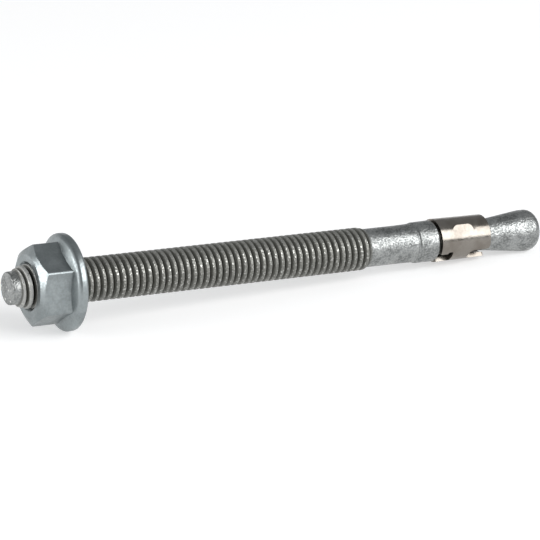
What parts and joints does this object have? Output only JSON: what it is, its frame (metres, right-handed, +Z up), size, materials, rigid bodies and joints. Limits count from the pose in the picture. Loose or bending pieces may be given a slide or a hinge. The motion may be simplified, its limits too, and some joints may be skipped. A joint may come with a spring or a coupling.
{
  "type": "wedge anchor",
  "caption": "Wedge anchor for concrete: threaded steel bolt with a flange nut, a sheet-steel expansion clip and an expanding cone.",
  "frame": {"origin": "centre of the bounding box, on the surface that the anchor lies on", "axes": "+Z up, +X from the threaded tip towards the cone end, level; the bolt's own axis dips by 2.85 degrees towards +X"},
  "size_m": [0.1072, 0.017, 0.0171],
  "materials": {
    "anchor_bolt": "zinc plated, slightly mottled satin, the thread darker",
    "flange_nut": "satin zinc plating",
    "expansion_clip": "bright stainless sheet, warm grey"
  },
  "bodies": {
    "anchor_bolt": {"anchor_bolt": "anchor_bolt"},
    "flange_nut": {"flange_nut": "flange_nut"},
    "expansion_clip": {"expansion_clip": "expansion_clip"}
  },
  "joints": [
    {"name": "nut_travel", "type": "slide", "parent": "anchor_bolt", "child": "flange_nut", "axis": [0.9988, 0, -0.0497], "range_m": [-0.00375, 0.0575]},
    {"name": "clip_turn", "type": "hinge", "parent": "anchor_bolt", "child": "expansion_clip", "pos_m": [0.03629, 0, 0.0046], "axis": [0.9988, 0, -0.0497], "continuous": true}
  ]
}
